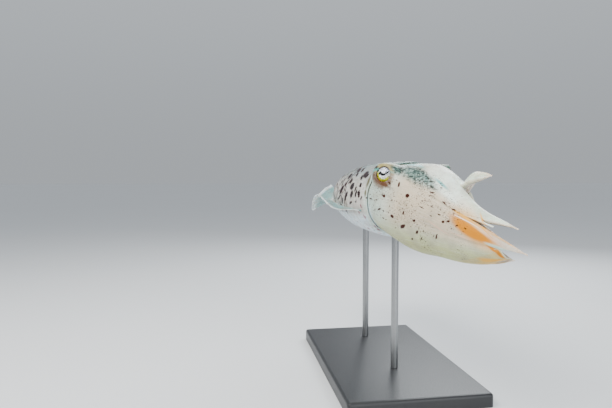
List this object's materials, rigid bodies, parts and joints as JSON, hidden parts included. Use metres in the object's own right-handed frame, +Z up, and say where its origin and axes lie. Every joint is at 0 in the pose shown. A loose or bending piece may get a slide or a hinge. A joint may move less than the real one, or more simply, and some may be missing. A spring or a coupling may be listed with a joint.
{
  "type": "pharaoh cuttlefish museum model",
  "caption": "Life-size pharaoh cuttlefish hovering with its arms lowered and one arm raised, held over a flat base by thin rods.",
  "frame": {"origin": "middle of the stand's underside", "axes": "+X forward along the mantle towards the head, +Y to the animal's left, +Z up"},
  "size_m": [0.4456, 0.15, 0.246],
  "materials": {
    "skin": "soft, moist skin; pale with dark maroon spots and dashes, yellow-orange lower arms",
    "eye": "wet and clear over a silvery iris with a black W-shaped pupil",
    "stand": "satin black",
    "rod": "satin steel"
  },
  "bodies": {
    "root": {"mantle": "skin", "fin_right": "skin", "fin_left": "skin", "head": "skin", "funnel": "skin", "mouth": "skin", "arm_right_1_base": "skin", "arm_right_1_tip": "skin", "arm_right_2_base": "skin", "arm_right_2_tip": "skin", "arm_right_3_base": "skin", "arm_right_3_tip": "skin", "arm_right_4_base": "skin", "arm_right_4_tip": "skin", "arm_left_1_base": "skin", "arm_left_1_tip": "skin", "arm_left_2_base": "skin", "arm_left_2_tip": "skin", "arm_left_3_base": "skin", "arm_left_3_tip": "skin", "arm_left_4_base": "skin", "arm_left_4_tip": "skin", "eye_right": "eye", "eye_left": "eye", "stand_base": "stand", "stand_rod_front": "rod", "stand_rod_rear": "rod"}
  },
  "joints": []
}
